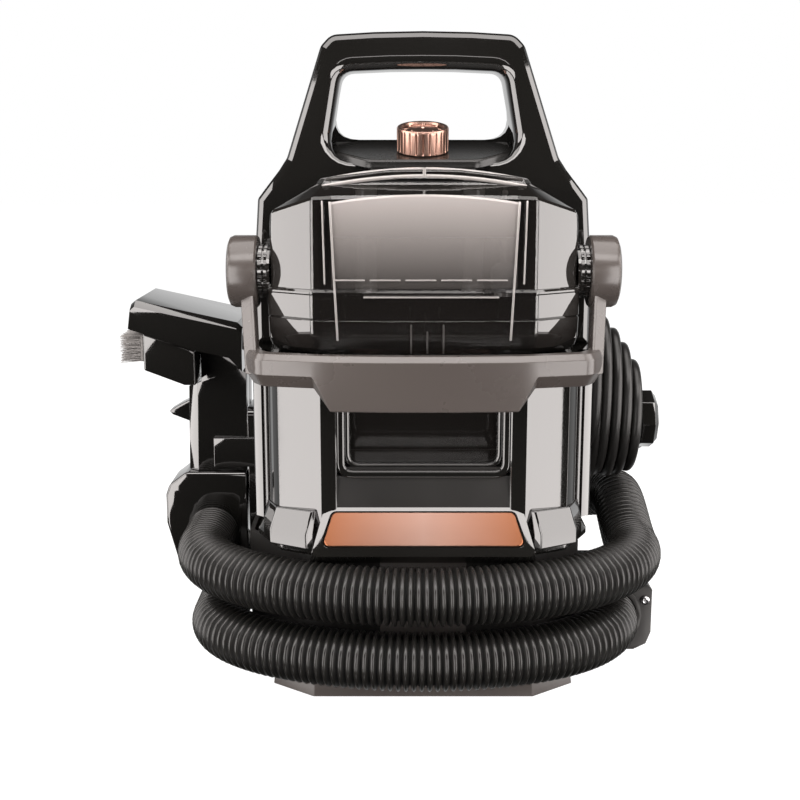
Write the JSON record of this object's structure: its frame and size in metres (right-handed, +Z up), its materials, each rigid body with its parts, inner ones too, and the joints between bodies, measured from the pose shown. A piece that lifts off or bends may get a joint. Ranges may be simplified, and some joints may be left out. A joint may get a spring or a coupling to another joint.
{
  "type": "spot extractor",
  "caption": "Portable carpet spot extractor with carry handle, lift-off tanks with a swinging bail, mode knob, ribbed hose round its base, hand tool with brush and a cord wrap.",
  "frame": {"origin": "middle of the base's underside, on the floor between the feet", "axes": "+Z up; the front, with the dirty tank, badge and bail, faces -Y; +X is towards the cord wrap, so the hand tool hangs on -X"},
  "size_m": [0.3579, 0.2728, 0.395],
  "materials": {
    "gloss_black": "gloss",
    "satin_black": "satin",
    "warm_grey": "satin",
    "copper": "copper-coloured metallised plastic",
    "smoky_clear": "clear smoky plastic",
    "hose_black": "satin",
    "cord_black": "satin",
    "rubber": "matte",
    "bristle": "matte",
    "steel": "satin",
    "motor_grey": "matte",
    "board_green": "matte"
  },
  "bodies": {
    "machine": {"base_pan": "satin_black", "base_foot_1": "rubber", "base_foot_2": "rubber", "base_foot_3": "rubber", "base_foot_4": "rubber", "front_housing": "gloss_black", "rear_housing": "gloss_black", "front_badge": "copper", "control_deck": "gloss_black", "rotary_switch": "motor_grey", "hose": "hose_black", "hose_outlet": "satin_black", "outlet_screw_1": "steel", "outlet_screw_2": "steel", "grip_front": "gloss_black", "grip_rear": "gloss_black", "trigger_pin": "steel", "spray_valve": "motor_grey", "hose_cuff": "gloss_black", "tool_cradle": "gloss_black", "cord_wrap_post": "satin_black", "cord_wrap_cap": "gloss_black", "cord_core": "cord_black", "cord_winding": "cord_black", "strain_relief": "rubber", "plug": "rubber", "motor_mount": "rubber", "vacuum_motor": "motor_grey", "fan_cover": "motor_grey", "suction_duct": "satin_black", "pump": "motor_grey", "heater": "steel", "water_line": "rubber", "control_board": "board_green"},
    "knob": {"mode_knob": "copper", "knob_shaft": "steel"},
    "dirty_tank": {"dirty_tank": "smoky_clear", "bail_pin_left": "steel", "bail_pin_right": "steel"},
    "tank_lid": {"tank_lid": "smoky_clear", "tank_gasket": "rubber", "inlet_duct": "smoky_clear", "outlet_duct": "smoky_clear", "float_guide": "smoky_clear"},
    "float": {"tank_float": "motor_grey"},
    "bail": {"bail": "warm_grey"},
    "clean_tank": {"clean_tank": "smoky_clear", "clean_tank_top": "smoky_clear", "tank_valve": "rubber"},
    "cap": {"clean_tank_cap": "gloss_black"},
    "trigger": {"trigger": "gloss_black"},
    "tool_head": {"nozzle_cover": "gloss_black", "brush_block": "gloss_black", "brush_bristles": "bristle"},
    "release_button": {"release_button": "gloss_black"},
    "fan": {"fan_impeller": "motor_grey", "motor_shaft": "steel"}
  },
  "joints": [
    {"name": "knob_turn", "type": "hinge", "parent": "machine", "child": "knob", "pos_m": [0, -0.024, 0.3224], "axis": [0, -0.2334, 0.9724], "range_deg": [-60, 60]},
    {"name": "dirty_tank_lift", "type": "slide", "parent": "machine", "child": "dirty_tank", "axis": [0, 0, 1], "range_m": [0, 0.09]},
    {"name": "tank_lid_lift", "type": "slide", "parent": "dirty_tank", "child": "tank_lid", "axis": [0, 0, 1], "range_m": [0, 0.04]},
    {"name": "float_rise", "type": "slide", "parent": "tank_lid", "child": "float", "axis": [0, 0, 1], "range_m": [0, 0.045]},
    {"name": "bail_swing", "type": "hinge", "parent": "dirty_tank", "child": "bail", "pos_m": [0, -0.0645, 0.2523], "axis": [-1, 0, 0], "range_deg": [0, 100]},
    {"name": "clean_tank_lift", "type": "slide", "parent": "machine", "child": "clean_tank", "axis": [0, 0, 1], "range_m": [0, 0.06]},
    {"name": "cap_lift", "type": "slide", "parent": "clean_tank", "child": "cap", "axis": [0, 0, 1], "range_m": [0, 0.04]},
    {"name": "trigger_pull", "type": "hinge", "parent": "machine", "child": "trigger", "pos_m": [-0.1399, 0.03, 0.1715], "axis": [0, -1, 0], "range_deg": [0, 8], "stiffness_Nm_per_rad": 0.5, "springref_deg": -5.73},
    {"name": "tool_head_release", "type": "slide", "parent": "machine", "child": "tool_head", "axis": [0, 0, 1], "range_m": [0, 0.03]},
    {"name": "release_button_press", "type": "slide", "parent": "tool_head", "child": "release_button", "axis": [-1, 0, 0], "range_m": [0, 0.002], "stiffness_N_per_m": 300, "springref_m": -0.002},
    {"name": "fan_spin", "type": "hinge", "parent": "machine", "child": "fan", "pos_m": [0, 0.01, 0.066], "axis": [0, 0, 1], "continuous": true}
  ]
}
